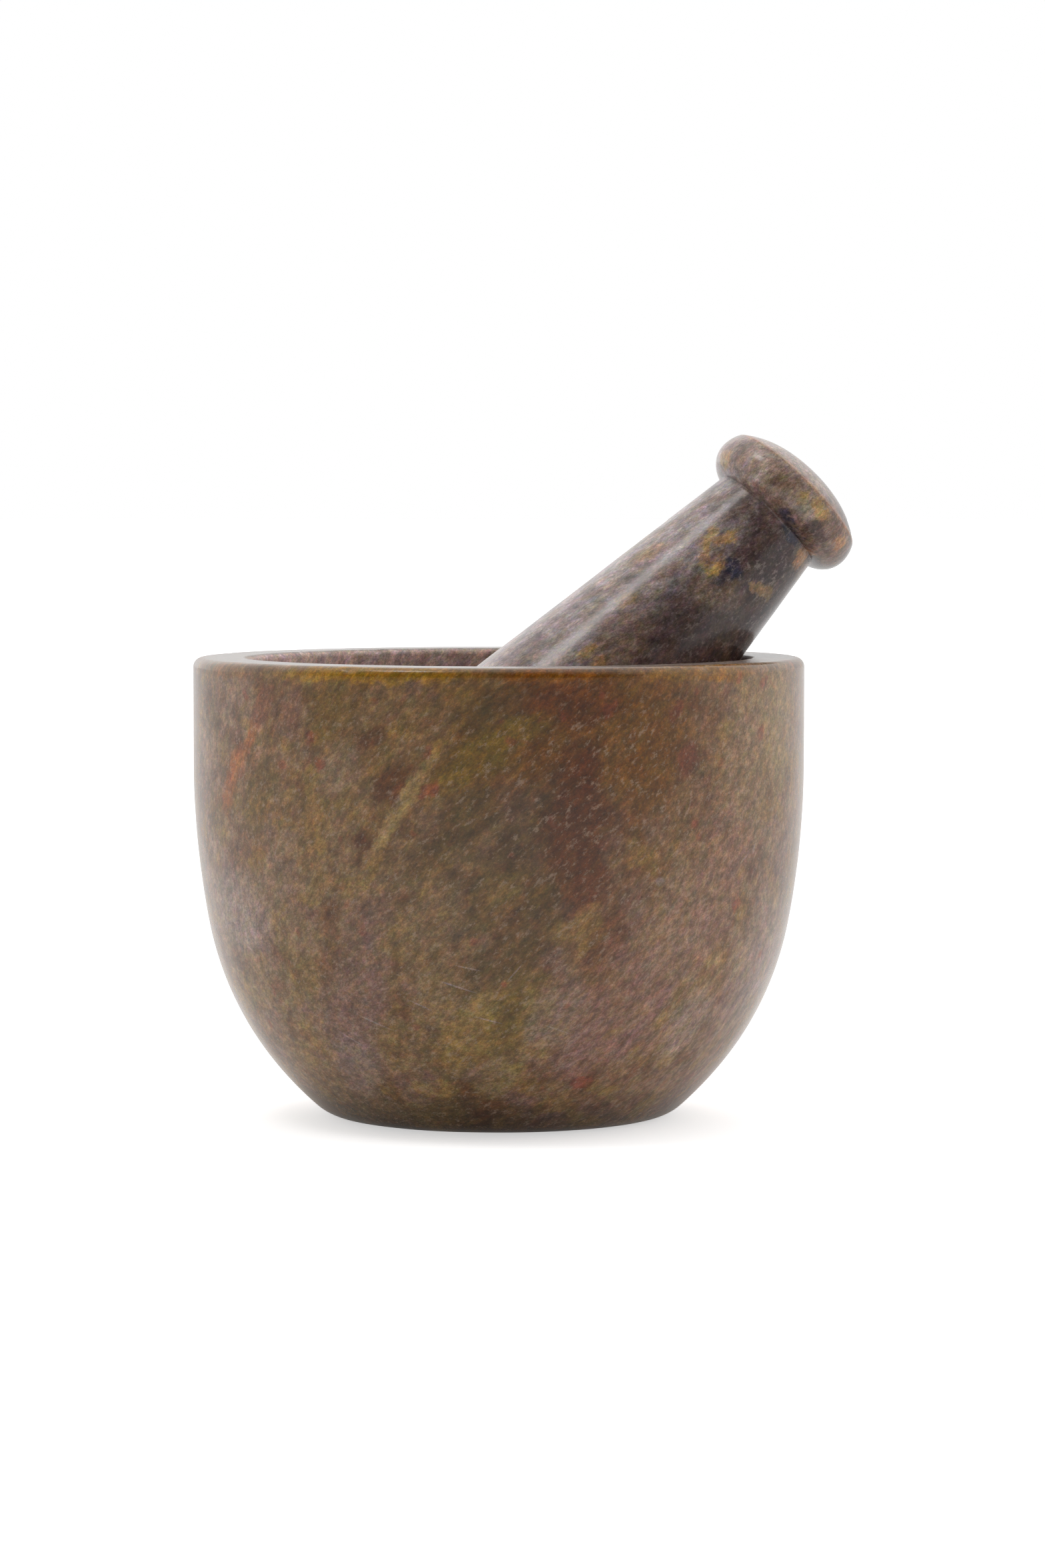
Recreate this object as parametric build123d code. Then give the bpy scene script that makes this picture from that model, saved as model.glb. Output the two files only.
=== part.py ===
"""Mortar and pestle, both turned from soft stone.

Millimetres. +Z is up, the origin is the centre of the mortar's foot, and the
mortar's turning axis is Z. The pestle lies in the bowl, leaning in the XZ plane
towards +X, with its shaft on the inner edge of the rim.
"""
import os
from math import asin, cos, radians, sin, tan

from build123d import *

# --- mortar ---
MORTAR_RADIUS = 65.0          # outside, at the rim
MORTAR_HEIGHT = 97.7
BOWL_RADIUS = 53.0            # inside: a straight wall above a hemisphere
FLOOR_THICKNESS = 25.0        # stone under the deepest point of the bowl
RIM_OUTER_ROUND = 2.0
RIM_INNER_ROUND = 1.5
# the outside curves in below a straight wall: radius and degrees turned, downwards
OUTSIDE_CURVES = ((183.0, 10.9), (67.7, 29.8), (74.8, 8.1))
FOOT_ROUND = 9.9              # turns the last curve into the flat foot

# --- pestle, turned about its own axis ---
GRINDING_RADIUS = 25.0        # round lower end, the pestle's largest radius
SHAFT_BLEND_RADIUS = 275.0    # long curve from the grinding end into the shaft
SHAFT_HALF_ANGLE = 8.0        # degrees; the shaft narrows towards the knob
NECK_RADIUS = 13.25           # at the crease under the knob
KNOB_RADIUS = 18.0
KNOB_WIDEST_HEIGHT = 5.4      # of the knob's widest ring, above the crease
RIDGE_RADIUS = 17.0           # ring where the knob's side meets its domed top
RIDGE_HEIGHT = 9.2            # above the crease
RIDGE_ROUND = 0.5
DOME_HEIGHT = 4.9             # above the ridge
CROWN_RADIUS = 50.0           # the flatter middle of the dome
CROWN_HALF_ANGLE = 8.0        # degrees

# --- how the pestle lies in the bowl ---
LEAN = 44.6                   # degrees of the pestle's axis above level
CONTACT_GAP = 0.2             # between the two stones, at the rim and in the bowl


def turned(section_face):
    """Solid of revolution from a half section drawn right of the Z axis."""
    return revolve(section_face, Axis.Z)


def make_mortar():
    """Thick bowl with a flat foot, drawn from the rim down the outside and up inside."""
    straight_wall_end = 0.0
    turned_in = 0.0
    for radius, turn in OUTSIDE_CURVES:
        straight_wall_end += radius * (sin(radians(turned_in + turn)) - sin(radians(turned_in)))
        turned_in += turn
    straight_wall_end += FOOT_ROUND * (1 - sin(radians(turned_in)))
    with BuildSketch(Plane.XZ) as section:
        with BuildLine():
            wall = Line((MORTAR_RADIUS, MORTAR_HEIGHT), (MORTAR_RADIUS, straight_wall_end))
            outside = wall
            for radius, turn in OUTSIDE_CURVES:
                outside = JernArc(outside @ 1, outside % 1, radius, -turn)
            foot = JernArc(outside @ 1, outside % 1, FOOT_ROUND, turned_in - 90)
            Line(foot @ 1, (0, 0))
            Line((0, 0), (0, FLOOR_THICKNESS))
            bowl = JernArc((0, FLOOR_THICKNESS), (1, 0), BOWL_RADIUS, 90)
            inner_wall = Line(bowl @ 1, (BOWL_RADIUS, MORTAR_HEIGHT))
            Line(inner_wall @ 1, wall @ 0)
        make_face()
        rim_corners = section.vertices().group_by(Axis.Y)[-1].sort_by(Axis.X)
        fillet(rim_corners[0], RIM_INNER_ROUND)
        fillet(rim_corners[-1], RIM_OUTER_ROUND)
    return turned(section.sketch)


def pestle_crease_height():
    """Height of the neck crease above the pestle's lower tip."""
    shaft = radians(SHAFT_HALF_ANGLE)
    shaft_bottom_radius = GRINDING_RADIUS - SHAFT_BLEND_RADIUS * (1 - cos(shaft))
    shaft_height = (shaft_bottom_radius - NECK_RADIUS) / tan(shaft)
    return GRINDING_RADIUS + SHAFT_BLEND_RADIUS * sin(shaft) + shaft_height


def make_pestle():
    """Pestle standing on its lower tip at the origin, axis along Z."""
    crease = pestle_crease_height()
    with BuildSketch(Plane.XZ) as section:
        with BuildLine():
            grinding_end = JernArc((0, 0), (1, 0), GRINDING_RADIUS, 90)
            blend = JernArc(grinding_end @ 1, (0, 1), SHAFT_BLEND_RADIUS, SHAFT_HALF_ANGLE)
            shaft = Line(blend @ 1, (NECK_RADIUS, crease))
            widest = (KNOB_RADIUS, crease + KNOB_WIDEST_HEIGHT)
            ridge = (RIDGE_RADIUS, crease + RIDGE_HEIGHT)
            top = (0, crease + RIDGE_HEIGHT + DOME_HEIGHT)
            TangentArc(widest, shaft @ 1, tangent=(0, -1))
            TangentArc(widest, ridge, tangent=(0, 1))
            crown = JernArc(top, (1, 0), CROWN_RADIUS, -CROWN_HALF_ANGLE)
            TangentArc(crown @ 1, ridge, tangent=crown % 1)
            Line(top, (0, 0))
        make_face()
        ridge_corner = section.vertices().sort_by_distance(ridge)[0]
        fillet(ridge_corner, RIDGE_ROUND)
    return turned(section.sketch)


def pestle_rest_place():
    """Place of the pestle's tip frame where shaft and tip both meet the mortar.

    The rounded inner edge of the rim touches the straight shaft's underside, and
    the round grinding end touches the hemisphere of the bowl, each with CONTACT_GAP.
    """
    lean, taper = radians(LEAN), radians(SHAFT_HALF_ANGLE)
    underside = lean + taper
    bowl_centre_z = FLOOR_THICKNESS + BOWL_RADIUS
    reach = BOWL_RADIUS - GRINDING_RADIUS - CONTACT_GAP
    cone_apex = NECK_RADIUS / tan(taper) + pestle_crease_height() - GRINDING_RADIUS
    edge_x = BOWL_RADIUS + RIM_INNER_ROUND
    edge_z = MORTAR_HEIGHT - RIM_INNER_ROUND
    edge_offset = edge_x * sin(underside) - edge_z * cos(underside)
    centre_offset = edge_offset - RIM_INNER_ROUND - CONTACT_GAP - cone_apex * sin(taper)
    bowl_offset = -bowl_centre_z * cos(underside)
    below = underside - asin((bowl_offset - centre_offset) / reach)
    end_x = -reach * cos(below)
    end_z = bowl_centre_z - reach * sin(below)
    tip_x = end_x - GRINDING_RADIUS * cos(lean)
    tip_z = end_z - GRINDING_RADIUS * sin(lean)
    return Location((tip_x, 0, tip_z), (0, 90 - LEAN, 0))


mortar = make_mortar()
rest = pestle_rest_place()
pestle = rest * make_pestle()

crease_height = pestle_crease_height()
crease_place = (rest * Location((0, 0, crease_height))).position
print("pestle length", round(crease_height + RIDGE_HEIGHT + DOME_HEIGHT, 2))
print("crease centre", crease_place)
print("gap between the stones", round(mortar.distance_to(pestle), 3))

os.makedirs("parts", exist_ok=True)
for name, solid in (("mortar", mortar), ("pestle", pestle)):
    solid.label = name
    export_step(solid, f"parts/{name}.step")
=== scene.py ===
"""Mortar and pestle, each turned from one block of polished soapstone.

Metres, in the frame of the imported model: Z is up, the origin is the centre of the
mortar's foot, and the pestle leans towards +X. Both CAD nodes are replaced by finely
divided turned meshes with the small faults of hand work, in stone that runs through
the solid, so that the colour follows the block and not the surface.
"""
from math import asin, atan, cos, degrees, exp, pi, radians, sin, tan

import bpy
import numpy as np
from mathutils import Matrix, Vector, noise


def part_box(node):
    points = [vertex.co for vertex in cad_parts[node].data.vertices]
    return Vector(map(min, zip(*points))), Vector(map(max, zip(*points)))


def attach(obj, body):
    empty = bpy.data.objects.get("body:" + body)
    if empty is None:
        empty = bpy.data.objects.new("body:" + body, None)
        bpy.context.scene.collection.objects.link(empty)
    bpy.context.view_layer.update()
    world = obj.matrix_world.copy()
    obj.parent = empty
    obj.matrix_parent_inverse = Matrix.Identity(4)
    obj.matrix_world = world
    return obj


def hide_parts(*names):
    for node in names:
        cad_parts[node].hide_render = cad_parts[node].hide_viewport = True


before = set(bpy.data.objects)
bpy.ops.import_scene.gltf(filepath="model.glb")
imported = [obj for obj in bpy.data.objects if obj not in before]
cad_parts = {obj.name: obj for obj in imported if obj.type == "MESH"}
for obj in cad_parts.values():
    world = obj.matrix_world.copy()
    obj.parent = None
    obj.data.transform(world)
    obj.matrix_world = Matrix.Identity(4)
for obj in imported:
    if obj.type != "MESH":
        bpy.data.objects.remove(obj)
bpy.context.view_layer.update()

MM = 0.001

# ---------------------------------------------------------------- sizes, metres
# The same turned outlines as the CAD model.
MORTAR_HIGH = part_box("mortar")[1]
MORTAR_HEIGHT = MORTAR_HIGH.z
MORTAR_RADIUS = MORTAR_HIGH.y
BOWL_RADIUS = 53 * MM
FLOOR_THICKNESS = 25 * MM
RIM_OUTER_ROUND = 2 * MM
RIM_INNER_ROUND = 1.5 * MM
OUTSIDE_CURVES = ((183 * MM, 10.9), (67.7 * MM, 29.8), (74.8 * MM, 8.1))
FOOT_ROUND = 9.9 * MM

PESTLE_LOW, PESTLE_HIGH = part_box("pestle")
LEAN = radians(44.6)
GRINDING_RADIUS = PESTLE_HIGH.y
SHAFT_BLEND_RADIUS = 275 * MM
SHAFT_HALF_ANGLE = radians(8.0)
NECK_RADIUS = 13.25 * MM
KNOB_RADIUS = 18.0 * MM
KNOB_WIDEST_HEIGHT = 5.4 * MM
RIDGE_RADIUS = 17.0 * MM
RIDGE_HEIGHT = 9.2 * MM
RIDGE_ROUND = 0.5 * MM
DOME_HEIGHT = 4.9 * MM
CROWN_RADIUS = 50.0 * MM
CROWN_HALF_ANGLE = radians(8.0)

# ---------------------------------------------------------------- camera
# The camera looks a little down on the set, from the -Y side and 12.8 degrees towards -X.
VIEW_TURN = radians(12.8)
CAMERA_DISTANCE = 1.0791
CAMERA_HEIGHT = 0.1365
AIM_HEIGHT = 0.0705
AIM_RIGHT = 0.00503
LENS_MM = 116.5

TO_RIGHT = Vector((cos(VIEW_TURN), -sin(VIEW_TURN), 0))
TO_CAMERA = Vector((-sin(VIEW_TURN), -cos(VIEW_TURN), 0))
UP = Vector((0, 0, 1))

# ---------------------------------------------------------------- light
FLOOR_RADIUS = 14
FLOOR_GRAY = 0.86
FLOOR_LIFT = 0.55             # the floor's own glow where the camera sees it
FLOOR_GLOW = 0.12             # and where only light meets it
WORLD_LEVEL = 1.5
WORLD_FRONT = (TO_CAMERA - TO_RIGHT * 0.2).normalized()
# Gray of the surroundings by direction: 0 is behind the set, 1 is on the camera's side.
WORLD_STOPS = ((0.0, 0.60), (0.1, 0.97), (0.2, 1.0), (0.45, 1.0), (0.86, 0.04))
KEY_DIRECTION = TO_RIGHT * -0.36 + UP * 0.915 + TO_CAMERA * 0.17
KEY_DISTANCE = 1.2
KEY_SIZE = 0.28
KEY_POWER = 1.65


def make_camera():
    camera = bpy.data.objects.new("camera", bpy.data.cameras.new("camera"))
    bpy.context.scene.collection.objects.link(camera)
    camera.data.lens = LENS_MM
    camera.location = TO_CAMERA * CAMERA_DISTANCE + UP * CAMERA_HEIGHT
    aim = TO_RIGHT * AIM_RIGHT + UP * AIM_HEIGHT
    camera.rotation_euler = (aim - camera.location).to_track_quat("-Z", "Y").to_euler()
    camera.data.clip_end = 50
    bpy.context.scene.camera = camera


# ---------------------------------------------------------------- turned meshes
class Outline:
    """Half section of a turned piece, walked point by point from a start and a heading.

    Headings are radians from the outward direction, turning left is positive.
    """

    def __init__(self, radius, height, heading):
        self.points = [(radius, height)]
        self.heading = heading

    def line(self, length, step):
        radius, height = self.points[-1]
        count = max(1, round(length / step))
        for i in range(1, count + 1):
            run = length * i / count
            self.points.append((radius + run * cos(self.heading), height + run * sin(self.heading)))

    def arc(self, radius, turn, step):
        side = 1 if turn > 0 else -1
        start_radius, start_height = self.points[-1]
        centre = (
            start_radius - side * radius * sin(self.heading),
            start_height + side * radius * cos(self.heading),
        )
        count = max(2, round(radius * abs(turn) / step))
        for i in range(1, count + 1):
            heading = self.heading + turn * i / count
            self.points.append((
                centre[0] + side * radius * sin(heading),
                centre[1] - side * radius * cos(heading),
            ))
        self.heading += turn


def mortar_outline():
    """From the centre of the foot, out, up the outside, over the rim and down the bowl."""
    turned_in = radians(sum(turn for _, turn in OUTSIDE_CURVES))
    foot_radius = MORTAR_RADIUS
    wall_start = 0.0
    heading = 0.0
    for radius, turn in OUTSIDE_CURVES + ((FOOT_ROUND, 90 - degrees(turned_in)),):
        next_heading = heading + radians(turn)
        foot_radius -= radius * (cos(heading) - cos(next_heading))
        wall_start += radius * (sin(next_heading) - sin(heading))
        heading = next_heading
    outline = Outline(0, 0, 0)
    outline.line(foot_radius, 1.6 * MM)
    outline.arc(FOOT_ROUND, pi / 2 - turned_in, 0.7 * MM)
    for radius, turn in reversed(OUTSIDE_CURVES):
        outline.arc(radius, radians(turn), 0.95 * MM)
    outline.line(MORTAR_HEIGHT - RIM_OUTER_ROUND - wall_start, 0.8 * MM)
    outline.arc(RIM_OUTER_ROUND, pi / 2, 0.22 * MM)
    outline.line(MORTAR_RADIUS - RIM_OUTER_ROUND - BOWL_RADIUS - RIM_INNER_ROUND, 0.6 * MM)
    outline.arc(RIM_INNER_ROUND, pi / 2, 0.22 * MM)
    bowl_top = FLOOR_THICKNESS + BOWL_RADIUS
    outline.line(MORTAR_HEIGHT - RIM_INNER_ROUND - bowl_top, 1.0 * MM)
    outline.arc(BOWL_RADIUS, -pi / 2, 1.2 * MM)
    return outline.points


MORTAR_OUTLINE = mortar_outline()
OUTSIDE_END = max(range(len(MORTAR_OUTLINE)), key=lambda place: MORTAR_OUTLINE[place][1])


def outside_radius(height):
    """Radius of the mortar's outer wall at a height."""
    radii, heights = zip(*MORTAR_OUTLINE[:OUTSIDE_END])
    return float(np.interp(height, heights, radii))


def pestle_outline():
    """From the lower tip, up the grinding end and shaft, round the knob to its top."""
    outline = Outline(0, 0, 0)
    outline.arc(GRINDING_RADIUS, pi / 2, 0.75 * MM)
    outline.arc(SHAFT_BLEND_RADIUS, SHAFT_HALF_ANGLE, 0.75 * MM)
    shaft_radius = outline.points[-1][0]
    outline.line((shaft_radius - NECK_RADIUS) / sin(SHAFT_HALF_ANGLE), 0.6 * MM)
    crease = outline.points[-1][1]
    bulge = KNOB_RADIUS - NECK_RADIUS
    under_radius = (bulge ** 2 + KNOB_WIDEST_HEIGHT ** 2) / (2 * bulge)
    under_turn = asin(KNOB_WIDEST_HEIGHT / under_radius)
    outline.heading = pi / 2 - under_turn
    outline.arc(under_radius, under_turn, 0.3 * MM)
    shrink, rise = KNOB_RADIUS - RIDGE_RADIUS, RIDGE_HEIGHT - KNOB_WIDEST_HEIGHT
    side_radius = (shrink ** 2 + rise ** 2) / (2 * shrink)
    side_turn = asin(rise / side_radius)
    inward = RIDGE_RADIUS - CROWN_RADIUS * sin(CROWN_HALF_ANGLE)
    upward = DOME_HEIGHT - CROWN_RADIUS * (1 - cos(CROWN_HALF_ANGLE))
    ridge_slope = 2 * atan(upward / inward) - CROWN_HALF_ANGLE
    dome_radius = inward / (sin(ridge_slope) - sin(CROWN_HALF_ANGLE))
    dome_turn = ridge_slope - CROWN_HALF_ANGLE
    ridge_turn = pi / 2 - side_turn - ridge_slope
    trim = RIDGE_ROUND * tan(ridge_turn / 2)
    outline.arc(side_radius, side_turn - trim / side_radius, 0.3 * MM)
    outline.arc(RIDGE_ROUND, ridge_turn + trim / side_radius + trim / dome_radius, 0.12 * MM)
    outline.arc(dome_radius, dome_turn - trim / dome_radius, 0.45 * MM)
    outline.arc(CROWN_RADIUS, CROWN_HALF_ANGLE, 0.5 * MM)
    outline.points[-1] = (0, outline.points[-1][1])
    return outline.points, crease


def fractal(points, size, seed, octaves=3):
    """Smooth noise, about -1 to 1, with bumps of the given size, at each of the points."""
    shift = Vector((seed * 3.7, seed * -1.9, seed * 2.3))
    return np.array([
        noise.fractal(Vector(point) / size + shift, 1.0, 2.0, octaves) for point in points
    ])


def lathe(name, outline, segments, worn):
    """Turns an outline about Z. worn gives how far each vertex is worn in, in metres."""
    profile = np.array(outline)
    along = np.gradient(profile, axis=0)
    along /= np.linalg.norm(along, axis=1, keepdims=True)
    inner = profile[1:-1]
    normal_out, normal_up = along[1:-1, 1], -along[1:-1, 0]
    angles = np.arange(segments) * 2 * pi / segments
    cosines, sines = np.cos(angles), np.sin(angles)
    rings = len(inner)
    vertices = np.empty((rings, segments, 3))
    vertices[:, :, 0] = inner[:, :1] * cosines
    vertices[:, :, 1] = inner[:, :1] * sines
    vertices[:, :, 2] = inner[:, 1:]
    normals = np.empty_like(vertices)
    normals[:, :, 0] = normal_out[:, None] * cosines
    normals[:, :, 1] = normal_out[:, None] * sines
    normals[:, :, 2] = normal_up[:, None]
    flat = vertices.reshape(-1, 3)
    flat = flat - worn(flat)[:, None] * normals.reshape(-1, 3)
    first, last = len(flat), len(flat) + 1
    flat = np.vstack([flat, (0, 0, flat[:segments, 2].mean()), (0, 0, flat[-segments:, 2].mean())])
    faces = []
    for ring in range(rings - 1):
        low, high = ring * segments, (ring + 1) * segments
        for i in range(segments):
            j = (i + 1) % segments
            faces.append((low + i, low + j, high + j, high + i))
    top = (rings - 1) * segments
    for i in range(segments):
        j = (i + 1) % segments
        faces.append((first, j, i))
        faces.append((last, top + i, top + j))
    mesh = bpy.data.meshes.new(name)
    mesh.from_pydata(flat.tolist(), [], faces)
    mesh.shade_smooth()
    piece = bpy.data.objects.new(name, mesh)
    bpy.context.scene.collection.objects.link(piece)
    return piece


def nicks(points, places):
    """Depth of small chips at the points. places: (centre, radius, depth) in metres."""
    depth = np.zeros(len(points))
    for centre, radius, deep in places:
        away = np.linalg.norm(points - np.array(centre), axis=1) / radius
        depth = np.maximum(depth, deep * np.clip(1 - away ** 2, 0, 1))
    return depth


def round_place(angle, radius, height):
    """Point at an angle from the camera side, in degrees to the right of it."""
    turn = radians(angle)
    return tuple(TO_CAMERA * radius * cos(turn) + TO_RIGHT * radius * sin(turn) + UP * height)


def mortar_wear(points):
    """Hand finishing leaves the wall a little uneven, and use chips its edges."""
    slow = 0.5 + 0.5 * fractal(points, 38 * MM, 1)
    fine = 0.5 + 0.5 * fractal(points, 9 * MM, 2)
    outer, inner = MORTAR_RADIUS - 0.5 * MM, BOWL_RADIUS + 0.5 * MM
    top = MORTAR_HEIGHT - 0.5 * MM
    chips = (
        (round_place(-28, outer, top), 1.3 * MM, 0.30 * MM),
        (round_place(24, outer, top), 1.0 * MM, 0.22 * MM),
        (round_place(41, outer, top), 1.6 * MM, 0.35 * MM),
        (round_place(97, outer, top), 1.8 * MM, 0.40 * MM),
        (round_place(171, outer, top), 1.4 * MM, 0.35 * MM),
        (round_place(-112, outer, top), 2.0 * MM, 0.45 * MM),
        (round_place(-150, inner, top), 1.5 * MM, 0.35 * MM),
        (round_place(118, inner, top), 1.7 * MM, 0.40 * MM),
        (round_place(31, MORTAR_RADIUS, 54 * MM), 1.0 * MM, 0.35 * MM),
    )
    return np.clip(0.10 * MM * slow + 0.03 * MM * fine, 0, None) + nicks(points, chips)


def pestle_wear(points):
    slow = 0.5 + 0.5 * fractal(points, 24 * MM, 5)
    fine = 0.5 + 0.5 * fractal(points, 6 * MM, 6)
    return np.clip(0.09 * MM * slow + 0.03 * MM * fine, 0, None)


def make_mortar():
    return lathe("mortar_stone", MORTAR_OUTLINE, 360, mortar_wear)


PESTLE_OUTLINE, CREASE_HEIGHT = pestle_outline()
PESTLE_AXIS = Vector((cos(LEAN), 0, sin(LEAN)))
PESTLE_TIP = (
    Vector((PESTLE_LOW.x + GRINDING_RADIUS, 0, PESTLE_LOW.z + GRINDING_RADIUS))
    - PESTLE_AXIS * GRINDING_RADIUS
)
PESTLE_CREASE = PESTLE_TIP + PESTLE_AXIS * CREASE_HEIGHT
PESTLE_FRONT = (TO_CAMERA - PESTLE_AXIS * TO_CAMERA.dot(PESTLE_AXIS)).normalized()
PESTLE_UNDER = PESTLE_AXIS.cross(PESTLE_FRONT)


def make_pestle():
    """The pestle is turned upright on its tip, then its mesh is laid into the bowl."""
    piece = lathe("pestle_stone", PESTLE_OUTLINE, 260, pestle_wear)
    lay_down = Matrix.Rotation(pi / 2 - LEAN, 4, "Y")
    piece.data.transform(Matrix.Translation(PESTLE_TIP) @ lay_down)
    return piece


# ---------------------------------------------------------------- studio
def make_floor():
    """Large pale floor, lifted to nearly white where the camera sees it."""
    bpy.ops.mesh.primitive_circle_add(vertices=96, radius=FLOOR_RADIUS, fill_type="NGON")
    floor = bpy.context.object
    floor.name = "studio_floor"
    material = bpy.data.materials.new("studio_floor")
    material.use_nodes = True
    nodes, links = material.node_tree.nodes, material.node_tree.links
    shader = nodes["Principled BSDF"]
    shader.inputs["Base Color"].default_value = (FLOOR_GRAY, FLOOR_GRAY, FLOOR_GRAY, 1)
    shader.inputs["Roughness"].default_value = 0.9
    shader.inputs["Specular IOR Level"].default_value = 0.0
    shader.inputs["Emission Color"].default_value = (1, 1, 1, 1)
    lift = nodes.new("ShaderNodeMapRange")
    lift.inputs["To Min"].default_value = FLOOR_GLOW
    lift.inputs["To Max"].default_value = FLOOR_LIFT
    links.new(nodes.new("ShaderNodeLightPath").outputs["Is Camera Ray"], lift.inputs["Value"])
    links.new(lift.outputs[0], shader.inputs["Emission Strength"])
    floor.data.materials.append(material)


def make_world():
    """White surroundings, dimmer towards the camera and straight behind the set."""
    world = bpy.data.worlds.new("studio")
    bpy.context.scene.world = world
    world.use_nodes = True
    nodes, links = world.node_tree.nodes, world.node_tree.links
    nodes.clear()
    direction = nodes.new("ShaderNodeTexCoord").outputs["Generated"]
    facing = nodes.new("ShaderNodeVectorMath")
    facing.operation = "DOT_PRODUCT"
    facing.inputs[1].default_value = WORLD_FRONT
    links.new(direction, facing.inputs[0])
    place = nodes.new("ShaderNodeMapRange")
    place.inputs["From Min"].default_value = -1.0
    links.new(facing.outputs["Value"], place.inputs["Value"])
    shade = nodes.new("ShaderNodeValToRGB")
    shade.color_ramp.interpolation = "EASE"
    for _ in WORLD_STOPS[2:]:
        shade.color_ramp.elements.new(0.5)
    for stop, (where, gray) in zip(shade.color_ramp.elements, WORLD_STOPS):
        stop.position = where
        stop.color = (gray, gray, gray, 1)
    links.new(place.outputs["Result"], shade.inputs["Fac"])
    level = nodes.new("ShaderNodeMath")
    level.operation = "MULTIPLY"
    level.inputs[1].default_value = WORLD_LEVEL
    links.new(shade.outputs["Color"], level.inputs[0])
    surroundings = nodes.new("ShaderNodeBackground")
    surroundings.inputs["Color"].default_value = (1, 1, 1, 1)
    links.new(level.outputs[0], surroundings.inputs["Strength"])
    backdrop = nodes.new("ShaderNodeBackground")
    backdrop.inputs["Color"].default_value = (1, 1, 1, 1)
    pick = nodes.new("ShaderNodeMixShader")
    links.new(nodes.new("ShaderNodeLightPath").outputs["Is Camera Ray"], pick.inputs["Fac"])
    links.new(surroundings.outputs[0], pick.inputs[1])
    links.new(backdrop.outputs[0], pick.inputs[2])
    links.new(pick.outputs[0], nodes.new("ShaderNodeOutputWorld").inputs["Surface"])


def softbox(name, direction, distance, size, power):
    """Square area light that faces the middle of the set."""
    light = bpy.data.objects.new(name, bpy.data.lights.new(name, "AREA"))
    bpy.context.scene.collection.objects.link(light)
    light.data.size = size
    light.data.energy = power
    target = UP * AIM_HEIGHT
    light.location = target + direction.normalized() * distance
    light.rotation_euler = (target - light.location).to_track_quat("-Z", "Y").to_euler()


def make_studio():
    make_floor()
    make_world()
    softbox("key_softbox", KEY_DIRECTION, KEY_DISTANCE, KEY_SIZE, KEY_POWER)
    bpy.context.scene.view_settings.view_transform = "Standard"


# ---------------------------------------------------------------- stone
# A patch of colour begins at its edge and has its full strength inside its core, as
# shares of its half sizes.
PATCH_EDGE = 1.15
PATCH_CORE = 0.5


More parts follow.
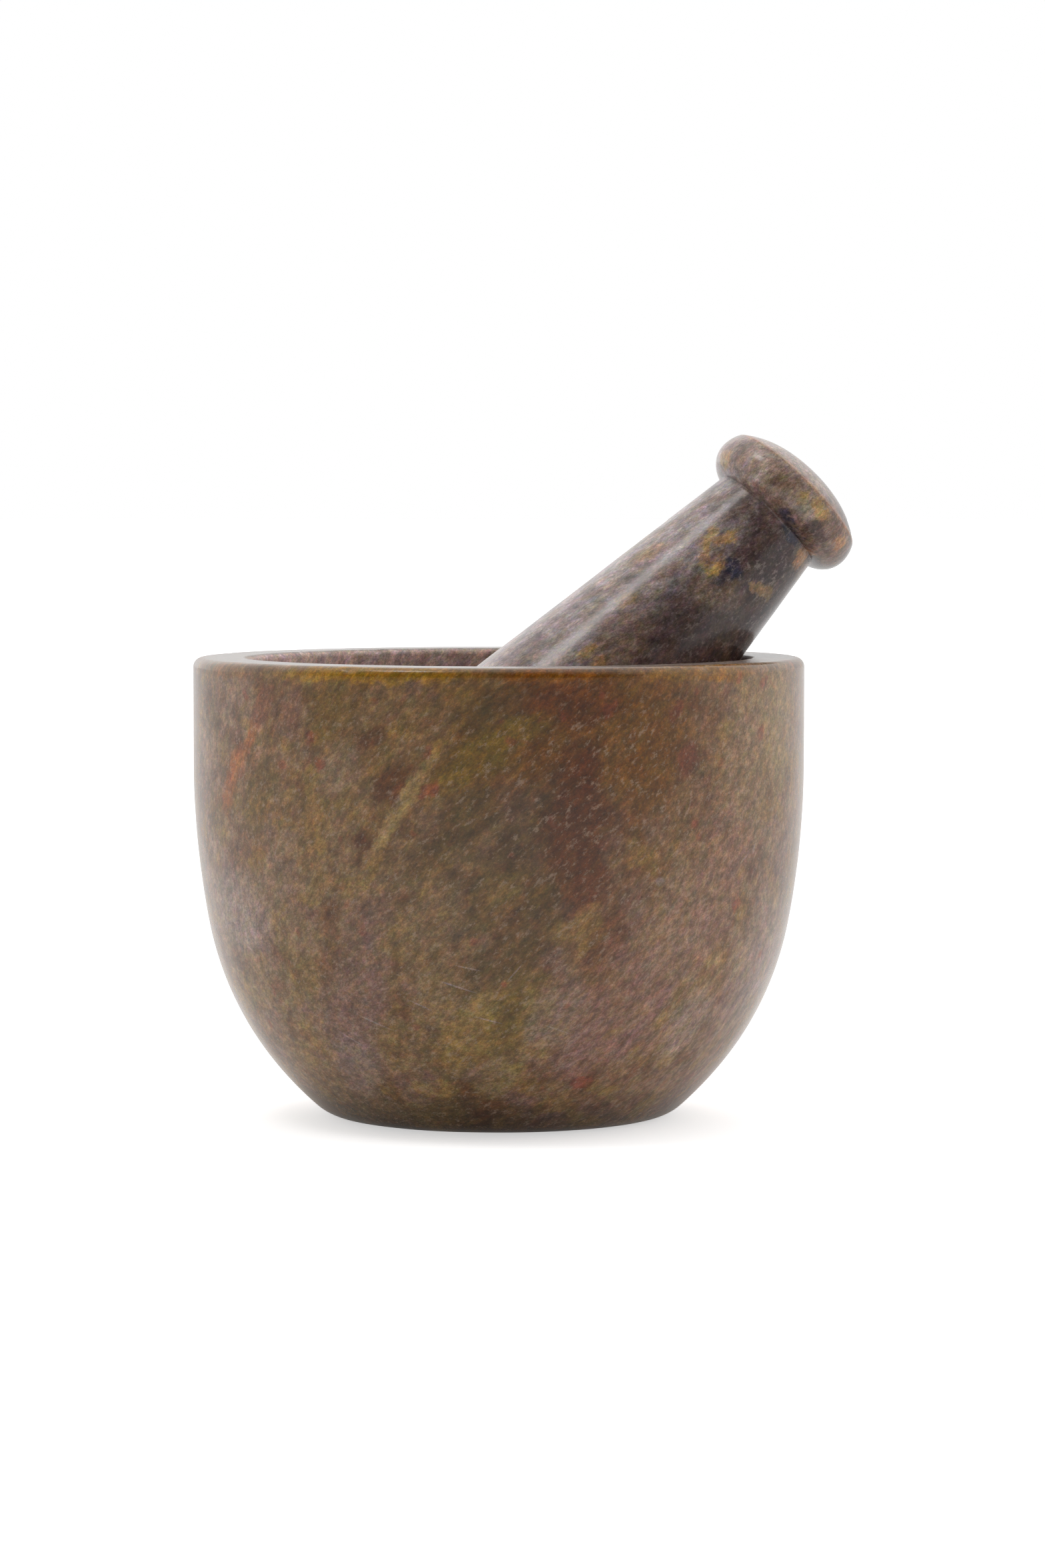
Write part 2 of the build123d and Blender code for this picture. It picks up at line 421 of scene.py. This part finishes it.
class Stone:
    """Node graph of one stone. Each call adds a node and returns the output it made."""

    def __init__(self, name):
        self.material = bpy.data.materials.new(name)
        self.material.use_nodes = True
        self.tree = self.material.node_tree
        self.shader = self.tree.nodes["Principled BSDF"]
        self.place = self.add("TexCoord", {}, "Object")

    def add(self, kind, feeds, output=0, **settings):
        node = self.tree.nodes.new("ShaderNode" + kind)
        for setting, value in settings.items():
            setattr(node, setting, value)
        for socket, value in feeds.items():
            if isinstance(value, bpy.types.NodeSocket):
                self.tree.links.new(value, node.inputs[socket])
            else:
                node.inputs[socket].default_value = value
        return node.outputs[output]

    def noise(self, place, size, detail=2.0, seed=0.0, output="Fac", roughness=0.58):
        """Cloudy noise from 0 to 1, with lumps about as large as size."""
        moved = self.add("VectorMath", {0: place, 1: (seed, -seed, 2 * seed)}, operation="ADD")
        feeds = {"Vector": moved, "Scale": 1 / size, "Detail": detail, "Roughness": roughness}
        return self.add("TexNoise", feeds, output)

    def pushed(self, place, push, reach):
        """The place, moved by up to half of reach, as a coloured noise says."""
        push = self.add("VectorMath", {0: push, 1: (0.5, 0.5, 0.5)}, operation="SUBTRACT")
        push = self.add("VectorMath", {0: push, "Scale": reach}, operation="SCALE")
        return self.add("VectorMath", {0: place, 1: push}, operation="ADD")

    def fade(self, value, start, end, low=0.0, high=1.0):
        """Low before start and high after end, with a smooth step between."""
        feeds = {"Value": value, "From Min": start, "From Max": end, "To Min": low, "To Max": high}
        return self.add("MapRange", feeds, interpolation_type="SMOOTHSTEP")

    def stretch(self, value, low, high):
        feeds = {"Value": value, "To Min": low, "To Max": high}
        return self.add("MapRange", feeds, clamp=False)

    def times(self, a, b):
        return self.add("Math", {0: a, 1: b}, operation="MULTIPLY")

    def mix(self, factor, a, b):
        feeds = {0: factor, 6: a if isinstance(a, bpy.types.NodeSocket) else (*a, 1)}
        feeds[7] = b if isinstance(b, bpy.types.NodeSocket) else (*b, 1)
        return self.add("Mix", feeds, 2, data_type="RGBA")

    def scaled(self, color, factor):
        return self.add("VectorMath", {0: color, "Scale": factor}, operation="SCALE")

    def within(self, place, centre, axes, halves):
        """Falls evenly from 1 at the centre of an ellipsoid to 0 at its surface."""
        turn = Matrix(axes).transposed().to_euler()
        feeds = {"Vector": place, "Location": centre, "Rotation": turn, "Scale": halves}
        local = self.add("Mapping", feeds, vector_type="TEXTURE")
        return self.add("TexGradient", {0: local}, "Fac", gradient_type="SPHERICAL")

    def grain(self, place, axes, sizes):
        """The place in a frame along the axes, in units of the grain's sizes."""
        feeds = {"Vector": place, "Rotation": Matrix(axes).transposed().to_euler(), "Scale": sizes}
        return self.add("Mapping", feeds, vector_type="TEXTURE")

    def patches(self, color, place, patches):
        for centre, axes, halves, tint, strength in patches:
            reach = tuple(half * PATCH_EDGE for half in halves)
            near = self.within(place, centre, axes, reach)
            near = self.fade(near, 0.0, 1 - PATCH_CORE / PATCH_EDGE, 0.0, strength)
            color = self.mix(near, color, tint)
        return color

    def ramp(self, value, stops):
        output = self.add("ValToRGB", {0: value})
        band = output.node.color_ramp
        band.interpolation = "B_SPLINE"
        for index, (position, tint) in enumerate(stops):
            stop = band.elements[index] if index < 2 else band.elements.new(position)
            stop.position = position
        for stop, (position, tint) in zip(band.elements, stops):
            stop.position = position
            stop.color = (*tint, 1)
        return output

    def finish(self, color, roughness, height, depth):
        links = self.tree.links
        links.new(color, self.shader.inputs["Base Color"])
        links.new(roughness, self.shader.inputs["Roughness"])
        self.shader.inputs["Specular IOR Level"].default_value = 0.4
        bump = self.add("Bump", {"Height": height, "Strength": 1.0, "Distance": depth})
        links.new(bump, self.shader.inputs["Normal"])
        return self.material


# Colours of the stone, as linear red, green and blue.
OLIVE = (0.185, 0.105, 0.026)
LIME = (0.182, 0.104, 0.013)
GOLD = (0.265, 0.150, 0.038)
OCHRE = (0.245, 0.140, 0.055)
ORANGE = (0.370, 0.130, 0.038)
AMBER = (0.160, 0.062, 0.006)
BRICK = (0.115, 0.036, 0.008)
MAROON = (0.112, 0.033, 0.009)
RED = (0.260, 0.060, 0.030)
SLATE = (0.112, 0.058, 0.014)
MAUVE = (0.192, 0.100, 0.064)
ROSE = (0.240, 0.124, 0.082)
SAND = (0.272, 0.170, 0.092)
PALE = (0.300, 0.210, 0.160)
BOWL_GROUND_AND_PAINTED_LIGHT = (0.620, 0.455, 0.415)        # the matte ground inside of the bowl, made paler still as painted light where the bowl lies in shade
BOWL_GROUND_AND_LIGHT_SHARE = 0.75
RIM_PAINTED_REFLECTION = (0.215, 0.192, 0.180)      # painted reflection of the pale surroundings on the flat of the rim
RIM_REFLECTION_SHARE = 0.65

# The mortar's colours are multiplied by these, near its rim and near its foot.
UPPER_TONE = (0.83, 0.80, 0.76)
LOWER_TONE = (1.06, 1.12, 1.30)

# Bands of the mortar's block, from its left to its right, each with its place in mm.
MORTAR_BANDS = (
    (-62, (0.290, 0.181, 0.119)),
    (-47, (0.250, 0.147, 0.070)),
    (-25, (0.208, 0.118, 0.047)),
    (-3, (0.142, 0.078, 0.026)),
    (9, (0.112, 0.054, 0.018)),
    (21, (0.172, 0.080, 0.036)),
    (33, (0.205, 0.108, 0.048)),
    (45, (0.240, 0.132, 0.068)),
    (62, (0.240, 0.150, 0.090)),
)
BANDS_WIDTH = 124 * MM
BANDS_ACROSS = TO_RIGHT * 0.97 - UP * 0.24      # the bands lean a little to the right
BANDS_MIDDLE = UP * 0.05

# Clouds in the mortar's stone: degrees right of the camera's side, height, half length and
# half width in mm, slope in degrees, colour and strength.
MORTAR_CLOUDS = (
    (14, 84, 36, 14, 3, AMBER, 0.75),
    (52, 79, 22, 9, 85, SAND, 0.80),
    (64, 84, 16, 7, 85, (0.290, 0.190, 0.085), 0.60),
    (62, 34, 22, 12, 80, PALE, 0.40),
    (27, 29, 26, 13, 75, ROSE, 0.55),
    (38, 48, 16, 9, 75, SAND, 0.55),
    (-60, 46, 10, 14, 80, PALE, 0.75),
    (-32, 27, 18, 9, 60, MAUVE, 0.80),
    (13, 90, 14, 5, 4, BRICK, 0.85),
    (29, 79, 15, 8, 75, AMBER, 0.85),
    (14, 66, 19, 6.5, 84, MAROON, 0.75),
    (14, 74, 9, 4.5, 84, MAROON, 0.90),
    (16, 54, 8, 4.5, 80, MAROON, 0.80),
    (-49, 71, 11, 6, 60, OLIVE, 0.75),
    (-31, 88, 10, 7, 60, OLIVE, 0.70),
    (-12, 84, 9, 5, 60, OCHRE, 0.55),
    (0, 89, 10, 5.5, 40, SLATE, 0.90),
    (-3, 80, 15, 5, 33, LIME, 0.95),
    (4, 85, 8, 3.5, 33, LIME, 0.80),
    (-6, 67, 11, 5.5, 45, SLATE, 0.90),
    (-13, 60, 8, 4, 45, SLATE, 0.60),
    (6, 45, 15, 6, 65, SLATE, 0.75),
    (-3, 50, 9, 5, 60, OLIVE, 0.60),
    (-19.5, 74, 5.5, 4, 60, BRICK, 0.85),
    (-24, 61, 5, 3, 60, BRICK, 0.70),
    (-36, 63, 10, 4, 66, GOLD, 0.55),
    (-46, 54, 10, 6, 60, SAND, 0.50),
    (-13, 46, 12, 6, 50, OCHRE, 0.60),
    (-6, 23, 15, 6.5, 60, (0.240, 0.140, 0.036), 0.80),
    (-13, 31, 9, 5, 60, OCHRE, 0.70),
    (3, 27, 13, 6, 70, (0.160, 0.098, 0.018), 0.65),
    (-26, 45, 10, 6, 60, MAUVE, 0.60),
    (20, 40, 12, 5, 75, BRICK, 0.40),
    (18, 18, 9, 6, 70, ROSE, 0.60),
    (45, 52, 20, 8, 78, ROSE, 0.55),
    (25, 93, 16, 4.5, 0, AMBER, 0.80),
    (-30, 77, 7, 6, 60, (0.270, 0.190, 0.125), 0.55),
    (5, 65, 14, 8, 60, (0.080, 0.036, 0.012), 0.50),
    (14, 66, 18, 7.5, 84, (0.104, 0.030, 0.007), 0.55),
    (12, 92, 13, 5, 0, (0.130, 0.034, 0.004), 0.55),
    (-8, 49, 10, 7, 60, (0.110, 0.062, 0.024), 0.40),
    (12, 27, 12, 7, 75, (0.262, 0.168, 0.105), 0.50),
    (44, 24, 10, 6, 75, (0.290, 0.195, 0.135), 0.60),
    (0, 14, 8, 5, 60, (0.250, 0.165, 0.050), 0.50),
    (-35, 15, 10, 7, 60, (0.230, 0.150, 0.110), 0.55),
    (62, 88, 12, 8, 80, (0.300, 0.205, 0.100), 0.50),
)

# Veins, thin bands and specks in the same terms. The first four, along the rim's outer edge, are a
# painted glow of light shining through the thin stone there.
MORTAR_VEINS_AND_RIM_GLOW = (
    # painted glow of light through the thin stone of the rim's outer edge
    (-24, 96.2, 28, 2.1, 0, (0.360, 0.185, 0.014), 0.80),
    (10, 96.2, 14, 2.2, 0, (0.210, 0.075, 0.008), 0.90),
    (40, 96.2, 18, 2.1, 0, (0.290, 0.130, 0.016), 0.85),
    (-60, 96.0, 10, 2.2, 0, (0.270, 0.130, 0.040), 0.80),
    # veins, bands and specks of the stone
    (38, 44, 12, 5, 80, ROSE, 0.40),
    (-41, 88, 5, 4, 60, (0.220, 0.095, 0.055), 0.60),
    (-18, 69, 17, 1.8, 57, (0.330, 0.205, 0.075), 0.90),
    (-9, 84, 6, 1.2, 45, GOLD, 0.75),
    (-23, 58, 6, 1.4, 60, GOLD, 0.60),
    (-58, 74, 9, 2.8, 60, ORANGE, 0.90),
    (-52, 82, 8, 2.0, 58, ORANGE, 0.75),
    (-48, 89, 8, 3.0, 55, (0.230, 0.090, 0.045), 0.75),
    (-34, 78, 2, 1.4, 50, RED, 0.60),
    (-36, 83, 1.8, 1.2, 50, RED, 0.55),
    (-12.5, 73, 2.6, 1.3, 55, RED, 0.65),
    (-26, 63, 2.4, 1.5, 55, MAROON, 0.80),
    (34, 89, 3.0, 2.0, 50, (0.160, 0.040, 0.018), 0.80),
    (36, 79, 4.5, 3.0, 70, (0.160, 0.045, 0.022), 0.80),
    (20, 89, 2.4, 1.6, 50, (0.160, 0.040, 0.018), 0.70),
    (57, 94, 2.0, 1.4, 50, RED, 0.60),
    (56, 83, 2.0, 1.4, 50, RED, 0.55),
    (51, 48, 1.8, 1.3, 50, RED, 0.50),
    (21, 12, 3.0, 1.8, 20, RED, 0.60),
)

# Scratches on the outside, in the same terms.
SCRATCHES = (
    (-8, 33, 4.0, 0.22, -18, PALE, 0.75),
    (-6, 37, 3.0, 0.20, -12, PALE, 0.60),
    (-27, 25, 4.5, 0.22, -22, PALE, 0.65),
    (-34, 21, 3.5, 0.20, -30, PALE, 0.60),
    (-16, 29, 3.0, 0.20, -25, PALE, 0.60),
    (3, 36, 2.5, 0.20, 50, PALE, 0.55),
    (-2, 26, 3.0, 0.20, -15, PALE, 0.60),
    (12, 24, 3.5, 0.20, -20, PALE, 0.45),
    (-45, 60, 3.5, 0.22, 60, PALE, 0.50),
    (52, 57.5, 1.8, 0.25, 35, PALE, 0.80),
    (55, 59.5, 1.4, 0.25, 75, PALE, 0.80),
    (31, 54, 1.3, 1.10, 0, PALE, 0.75),
)


def wall_axes(angle, slope):
    """Axes of a patch on the wall: along its slope, across it, and out of the wall."""
    turn = radians(angle)
    outward = TO_CAMERA * cos(turn) + TO_RIGHT * sin(turn)
    level = TO_RIGHT * cos(turn) - TO_CAMERA * sin(turn)
    tilt = radians(slope)
    along = level * cos(tilt) + UP * sin(tilt)
    return along, outward.cross(along), outward


def mortar_clouds(clouds):
    for angle, height, length, width, slope, tint, strength in clouds:
        centre = round_place(angle, outside_radius(height * MM), height * MM)
        halves = (length * MM, width * MM, max(width, 10) * MM)
        yield centre, wall_axes(angle, slope), halves, tint, strength


# Slopes of the grain in degrees, as the camera sees it, and its sizes along and across.
MORTAR_GRAIN_SLOPE = 45
PESTLE_GRAIN_SLOPE = 38
STREAK_SIZE = (4.2 * MM, 2.2 * MM, 2.2 * MM)
CRYSTAL_SIZE = (3.6 * MM, 2.1 * MM, 2.1 * MM)
FLAKE_SIZE = (2.3 * MM, 1.2 * MM, 1.2 * MM)
POLISH = (0.08, 0.30)         # roughness where the grain is darkest and where palest


def speckle(stone, color, axes, shade_gain, hue_gain, fleck, speck, flecked=0.5):
    """Grain of the stone: mottling in shade and hue at every scale, flakes and specks.

    The gains say how far shade and hue stray, and flecked how strong the pale flecks are.
    """
    streaks = stone.grain(stone.place, axes, STREAK_SIZE)
    shade = stone.noise(streaks, 1.0, 4.0, 4.7, roughness=1.0)
    lighter = stone.add("Math", {0: shade, 1: 0.5}, operation="SUBTRACT")
    lighter = stone.add("Math", {0: exp(shade_gain), 1: lighter}, operation="POWER")
    color = stone.scaled(color, lighter)
    crystals = stone.grain(stone.place, axes, CRYSTAL_SIZE)
    hue = stone.noise(crystals, 1.0, 3.0, 8.3, "Color", 0.95)
    middle = tuple(1 - gain / 2 for gain in hue_gain)
    hue = stone.add("VectorMath", {0: hue, 1: hue_gain, 2: middle}, operation="MULTIPLY_ADD")
    color = stone.add("VectorMath", {0: color, 1: hue}, operation="MULTIPLY")
    flakes = stone.grain(stone.place, axes, FLAKE_SIZE)
    flake = stone.noise(flakes, 1.0, 4.0, 9.1, roughness=0.8)
    color = stone.scaled(color, stone.fade(flake, 0.53, 0.70, 1.0, 1.15))
    color = stone.mix(stone.times(stone.fade(flake, 0.53, 0.67), flecked), color, fleck)
    color = stone.mix(stone.fade(flake, 0.42, 0.28, 0.0, 0.30), color, speck)
    return color, shade, flake


def streaky(stone, axes, sizes, seed, roughness):
    """The place, pushed about so that clouds get ragged edges drawn out along the grain."""
    streaks = stone.grain(stone.place, axes, sizes)
    push = stone.noise(streaks, 1.0, 4.0, seed, "Color", roughness)
    return stone.pushed(stone.place, push, 7 * MM)


def scattered(stone, color, place, clouds):
    """Clouds of other colours at no set place: lump size, seed, colour and strength."""
    for size, seed, tint, strength in clouds:
        lumps = stone.noise(place, size * MM, 1.0, seed)
        color = stone.mix(stone.fade(lumps, 0.53, 0.66, 0.0, strength), color, tint)
    return color


def bowl_mask(stone, reach, height):
    """1 on the inside of the bowl, 0 on the outside and under its floor."""
    within_wall = stone.fade(reach, BOWL_RADIUS + 1.5 * MM, BOWL_RADIUS + 0.4 * MM)
    above_floor = stone.fade(height, FLOOR_THICKNESS - 2 * MM, FLOOR_THICKNESS)
    return stone.times(within_wall, above_floor)


def rim_reflection_mask(stone, reach, height):
    """1 on the flat of the rim, where the painted reflection goes, 0 on its outer round and below
    it.
    """
    at_top = stone.fade(height, MORTAR_HEIGHT - 0.5 * MM, MORTAR_HEIGHT - 0.25 * MM)
    edge = MORTAR_RADIUS - RIM_OUTER_ROUND
    return stone.times(at_top, stone.fade(reach, edge + 0.2 * MM, edge - 0.8 * MM))


def mortar_stone():
    stone = Stone("mortar_soapstone")
    axes = wall_axes(0, MORTAR_GRAIN_SLOPE)
    ragged = streaky(stone, axes, (15 * MM, 6 * MM, 6 * MM), 0.7, 0.7)
    bedding = stone.pushed(ragged, stone.noise(ragged, 34 * MM, 1.0, 1.9, "Color"), 16 * MM)
    from_middle = stone.add("VectorMath", {0: bedding, 1: -BANDS_MIDDLE}, operation="ADD")
    across = BANDS_ACROSS / BANDS_WIDTH
    band = stone.add("VectorMath", {0: from_middle, 1: across}, "Value", operation="DOT_PRODUCT")
    band = stone.add("Math", {0: band, 1: 0.5}, operation="ADD")
    color = stone.ramp(band, [(0.5 + mm * MM / BANDS_WIDTH, tint) for mm, tint in MORTAR_BANDS])
    color = scattered(stone, color, ragged, (
        (16, 3.1, OLIVE, 0.65),
        (11, 5.3, BRICK, 0.50),
        (12, 7.7, OCHRE, 0.60),
        (10, 9.2, MAUVE, 0.60),
        (8, 11.6, GOLD, 0.60),
        (6, 14.3, MAROON, 0.40),
    ))
    color = stone.patches(color, ragged, mortar_clouds(MORTAR_CLOUDS))
    frayed = stone.pushed(stone.place, stone.noise(stone.place, 3 * MM, 2.0, 6.1, "Color"), 4 * MM)
    color = stone.patches(color, frayed, mortar_clouds(MORTAR_VEINS_AND_RIM_GLOW))
    color = stone.patches(color, stone.place, mortar_clouds(SCRATCHES))
    red_dots = stone.noise(stone.place, 5 * MM, 1.0, 12.4)
    color = stone.mix(stone.fade(red_dots, 0.70, 0.78, 0.0, 0.5), color, RED)
    height = stone.add("VectorMath", {0: stone.place, 1: UP}, "Value", operation="DOT_PRODUCT")
    tone = stone.mix(stone.fade(height, 85 * MM, 20 * MM), UPPER_TONE, LOWER_TONE)
    color = stone.add("VectorMath", {0: color, 1: tone}, operation="MULTIPLY")
    shaded_foot = stone.fade(height, 2 * MM, 11 * MM, 0.6, 1.0)
    color = stone.scaled(color, shaded_foot)
    level = stone.add("VectorMath", {0: stone.place, 1: (1, 1, 0)}, operation="MULTIPLY")
    reach = stone.add("VectorMath", {0: level}, "Value", operation="LENGTH")
    bowl = bowl_mask(stone, reach, height)
    # Inside the bowl the stone takes its paler matte ground, lifted further as painted light where
    # the bowl lies in shade.
    color = stone.mix(stone.times(bowl, BOWL_GROUND_AND_LIGHT_SHARE), color, BOWL_GROUND_AND_PAINTED_LIGHT)
    # The flat of the rim is painted grey, a painted reflection of the pale surroundings.
    rim = rim_reflection_mask(stone, reach, height)
    color = stone.mix(stone.times(rim, RIM_REFLECTION_SHARE), color, RIM_PAINTED_REFLECTION)
    fewer_at_rim = stone.fade(height, 84 * MM, 94 * MM, 0.50, 0.20)
    color, shade, flake = speckle(
        stone, color, axes, shade_gain=3.9, hue_gain=(0.9, 0.6, 1.4),
        fleck=(0.35, 0.25, 0.18), speck=(0.075, 0.032, 0.012), flecked=fewer_at_rim,
    )
    polish = stone.stretch(shade, *POLISH)
    roughness = stone.add("Math", {0: polish, 1: stone.times(bowl, 0.3)})
    return stone.finish(color, roughness, flake, 0.04 * MM)


# Bands of the pestle, from its lower side to its upper side, in mm from its axis: partly its own
# dark grey-brown, painted darker on the lower side as painted shade and paler on the upper side as
# painted light and sheen.
PESTLE_LIT_AND_SHADED_BANDS = (
    (-18, (0.062, 0.040, 0.033)),
    (-9, (0.082, 0.054, 0.047)),
    (-1, (0.150, 0.110, 0.100)),
    (5, (0.255, 0.198, 0.184)),
    (12, (0.345, 0.272, 0.258)),
    (20, (0.340, 0.255, 0.240)),
)

PESTLE_OCHRE = (0.400, 0.240, 0.085)
PESTLE_RUST = (0.380, 0.180, 0.075)
PESTLE_TAN = (0.250, 0.175, 0.130)
PESTLE_BROWN = (0.190, 0.120, 0.080)
PESTLE_PURPLE = (0.062, 0.034, 0.032)
PESTLE_NAVY = (0.032, 0.032, 0.055)

# Clouds in the pestle's stone: mm above the crease along the axis, degrees round the axis
# down from the camera's side, half length, half width, slope, colour and strength.
PESTLE_CLOUDS = (
    (5, -5, 7, 26, 0, (0.230, 0.150, 0.110), 0.80),
    (3, 28, 2.6, 4, 0, PESTLE_PURPLE, 0.75),
    (5, 7, 3.4, 5, 0, (0.350, 0.265, 0.210), 0.75),
    # painted reflection: a pale wash over the knob's dome
    (11.5, -20, 3.0, 16, 0, (0.350, 0.262, 0.222), 0.60),
    (4.5, -36, 4, 5, 0, (0.430, 0.320, 0.270), 0.80),
    (-30, 4, 15, 8, 0, PESTLE_PURPLE, 0.60),
    (-43, -14, 10, 6, 10, PESTLE_BROWN, 0.60),
    (-22, 1, 5, 5, 20, PESTLE_TAN, 0.60),
    (-19, 20, 4, 3, 20, PESTLE_BROWN, 0.60),
    (-5, -30, 5, 3, 10, PESTLE_PURPLE, 0.60),
    (-6, 3, 6, 5, 10, PESTLE_PURPLE, 0.55),
    (-12, 10, 5, 4, 10, PESTLE_PURPLE, 0.75),
    (-7, 28, 7, 5, 10, PESTLE_PURPLE, 0.60),
    (-19, 50, 8, 6, 10, PESTLE_PURPLE, 0.60),
    (-12, 42, 13, 9, 0, (0.040, 0.026, 0.024), 0.60),
    (-14, -26, 3.6, 1.8, 20, PESTLE_OCHRE, 0.75),
    (-11.5, -16, 3.2, 1.5, -10, PESTLE_OCHRE, 0.75),
    (-17.5, -18, 3.2, 1.5, 20, PESTLE_OCHRE, 0.55),
    (-24, -52, 4, 1.9, 10, PESTLE_OCHRE, 0.55),
    (-27, -57, 4, 1.9, 0, PESTLE_OCHRE, 0.45),
    (-17.3, -5, 3.2, 1.8, -15, PESTLE_OCHRE, 0.90),
    (-14, 28, 1.2, 2.2, 10, PESTLE_OCHRE, 0.45),
    (-13.5, 41, 1.9, 3.0, 10, PESTLE_OCHRE, 0.35),
    (-1.8, 53, 3.2, 2.2, 0, PESTLE_RUST, 0.85),
    (-50.5, -26, 3.2, 2, 0, PESTLE_OCHRE, 0.75),
    (-51, -15, 2.4, 2.2, 0, PESTLE_OCHRE, 0.65),
    (-36, -34, 3.2, 1.8, 10, PESTLE_OCHRE, 0.50),
    (2, -70, 1.9, 3, 0, PESTLE_OCHRE, 0.70),
    (5.4, 4, 2.1, 2.2, 0, PESTLE_OCHRE, 0.60),
    (6.7, 20, 2.1, 3, 0, PESTLE_OCHRE, 0.80),
    (6.0, 52, 2.1, 3, 0, PESTLE_RUST, 0.75),
    (0.2, 6, 1.6, 3.0, 0, PESTLE_NAVY, 0.85),
    (-0.3, 26, 1.6, 3.8, 0, PESTLE_NAVY, 0.90),
    (-15.3, 3, 2.8, 3.0, 20, PESTLE_NAVY, 0.85),
    (-19.5, 5, 2.0, 2.4, 20, PESTLE_NAVY, 0.60),
)


def pestle_clouds():
    for along, angle, length, width, slope, tint, strength in PESTLE_CLOUDS:
        turn = radians(angle)
        outward = PESTLE_FRONT * cos(turn) + PESTLE_UNDER * sin(turn)
        level = PESTLE_UNDER * cos(turn) - PESTLE_FRONT * sin(turn)
        radius = NECK_RADIUS - along * MM * tan(SHAFT_HALF_ANGLE) if along < 0 else RIDGE_RADIUS
        centre = PESTLE_CREASE + PESTLE_AXIS * along * MM + outward * radius
        tilt = radians(slope)
        lengthwise = PESTLE_AXIS * cos(tilt) - level * sin(tilt)
        axes = (lengthwise, outward.cross(lengthwise), outward)
        yield centre, axes, (length * MM, width * MM, max(width, 4) * MM), tint, strength


def pestle_stone():
    stone = Stone("pestle_soapstone")
    axes = wall_axes(0, PESTLE_GRAIN_SLOPE)
    ragged = streaky(stone, axes, (6 * MM, 4 * MM, 4 * MM), 2.7, 0.8)
    from_axis = stone.add("VectorMath", {0: ragged, 1: PESTLE_CREASE}, operation="SUBTRACT")
    from_crease = stone.add(
        "VectorMath", {0: stone.place, 1: PESTLE_CREASE}, operation="SUBTRACT"
    )
    # The pestle gets darker towards its lower side as painted shade and paler towards its upper
    # side as painted light and sheen.
    lit_side = -PESTLE_UNDER / BANDS_WIDTH
    band = stone.add("VectorMath", {0: from_axis, 1: lit_side}, "Value", operation="DOT_PRODUCT")
    band = stone.add("Math", {0: band, 1: 0.5}, operation="ADD")
    color = stone.ramp(band, [(0.5 + mm * MM / BANDS_WIDTH, tint) for mm, tint in PESTLE_LIT_AND_SHADED_BANDS])
    color = scattered(stone, color, ragged, (
        (9, 3.1, PESTLE_PURPLE, 0.55),
        (8, 5.3, PESTLE_TAN, 0.45),
        (7, 7.7, PESTLE_BROWN, 0.55),
    ))
    color = stone.patches(color, ragged, pestle_clouds())
    above_crease = stone.add(
        "VectorMath", {0: from_crease, 1: PESTLE_AXIS}, "Value", operation="DOT_PRODUCT"
    )
    # A dark line in the crease under the knob is painted shade; a rust line runs round the ridge.
    for height, reach, tint, strength in (
        (0.0, 0.7 * MM, PESTLE_PURPLE, 0.35),
        (RIDGE_HEIGHT, 0.8 * MM, PESTLE_RUST, 0.45),
    ):
        away = stone.add("Math", {0: above_crease, 1: height}, operation="SUBTRACT")
        away = stone.add("Math", {0: away}, operation="ABSOLUTE")
        color = stone.mix(stone.fade(away, reach, reach / 4, 0.0, strength), color, tint)
    color, shade, flake = speckle(
        stone, color, axes, shade_gain=4.2, hue_gain=(1.0, 0.8, 1.4),
        fleck=(0.33, 0.27, 0.24), speck=(0.040, 0.022, 0.026),
    )
    return stone.finish(color, stone.stretch(shade, *POLISH), flake, 0.03 * MM)


make_camera()
make_studio()
mortar = make_mortar()
pestle = make_pestle()
mortar.data.materials.append(mortar_stone())
pestle.data.materials.append(pestle_stone())
for piece, node in ((mortar, "mortar"), (pestle, "pestle")):
    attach(piece, node)
    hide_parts(node)
